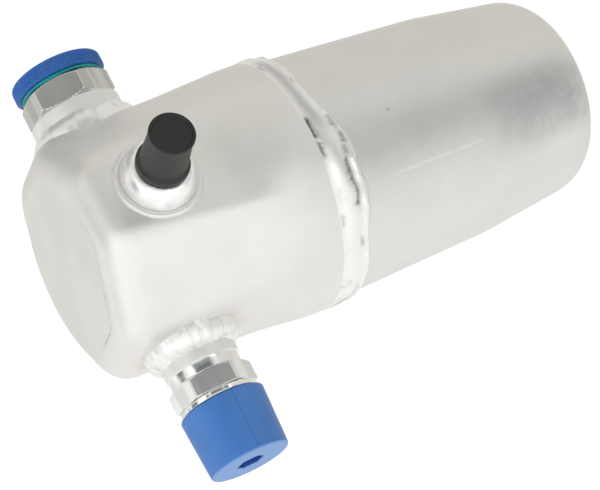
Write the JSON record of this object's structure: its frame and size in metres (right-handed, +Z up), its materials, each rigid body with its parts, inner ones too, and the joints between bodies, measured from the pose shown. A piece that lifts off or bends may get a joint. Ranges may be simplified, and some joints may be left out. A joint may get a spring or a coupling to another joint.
{
  "type": "suction line accumulator",
  "caption": "Upright aluminium can of two welded shells with a hexagon inlet, a threaded outlet and a switch port near the top, all capped, that holds back liquid refrigerant.",
  "frame": {"origin": "centre of the flat foot that the can stands on", "axes": "+Z up the can's axis to the ported top, +X along the inlet, -X along the outlet, the switch port 84 degrees from the inlet toward -Y"},
  "size_m": [0.1511, 0.1147, 0.195],
  "materials": {
    "shell": "satin",
    "weld": "rippled",
    "fitting": "machined",
    "bright_fitting": "bright",
    "tube": "drawn",
    "plug_plastic": "moulded",
    "cap_plastic": "moulded",
    "black_plastic": "moulded",
    "pale_plastic": "moulded",
    "tie_plastic": "moulded",
    "seal_rubber": "smooth",
    "o_ring_rubber": "smooth",
    "black_rubber": "smooth",
    "brass": "turned",
    "spring_steel": "drawn",
    "felt": "felted"
  },
  "bodies": {
    "canister": {"upper_shell": "shell", "lower_shell": "shell", "girth_weld": "weld", "inlet_fitting": "fitting", "inlet_weld": "weld", "outlet_fitting": "fitting", "outlet_weld": "weld", "outlet_o_ring": "o_ring_rubber", "switch_port": "bright_fitting", "switch_port_weld": "weld", "valve_core_body": "brass", "valve_core_spring": "spring_steel", "u_tube": "tube", "deflector_cap": "pale_plastic", "oil_filter_housing": "pale_plastic", "oil_filter_screen": "spring_steel", "desiccant_bag": "felt", "bag_tie_lower": "tie_plastic", "bag_tie_upper": "tie_plastic"},
    "inlet_plug_body": {"inlet_plug": "plug_plastic", "inlet_seal": "seal_rubber"},
    "outlet_cap_body": {"outlet_cap": "cap_plastic"},
    "port_cap_body": {"port_cap": "black_plastic", "port_cap_seal": "black_rubber"},
    "valve_pin_body": {"valve_core_pin": "brass", "valve_core_seal": "black_rubber"}
  },
  "joints": [
    {"name": "inlet_plug_pull", "type": "slide", "parent": "canister", "child": "inlet_plug_body", "axis": [1, 0, 0], "range_m": [0, 0.035]},
    {"name": "outlet_cap_pull", "type": "slide", "parent": "canister", "child": "outlet_cap_body", "axis": [-1, 0, 0], "range_m": [0, 0.035]},
    {"name": "port_cap_pull", "type": "slide", "parent": "canister", "child": "port_cap_body", "axis": [0.1045, -0.9945, 0], "range_m": [0, 0.035]},
    {"name": "valve_pin_press", "type": "slide", "parent": "canister", "child": "valve_pin_body", "axis": [-0.1045, 0.9945, 0], "range_m": [0, 0.0015], "stiffness_N_per_m": 1500, "springref_m": -0.002, "deforming": ["valve_core_spring"]}
  ]
}
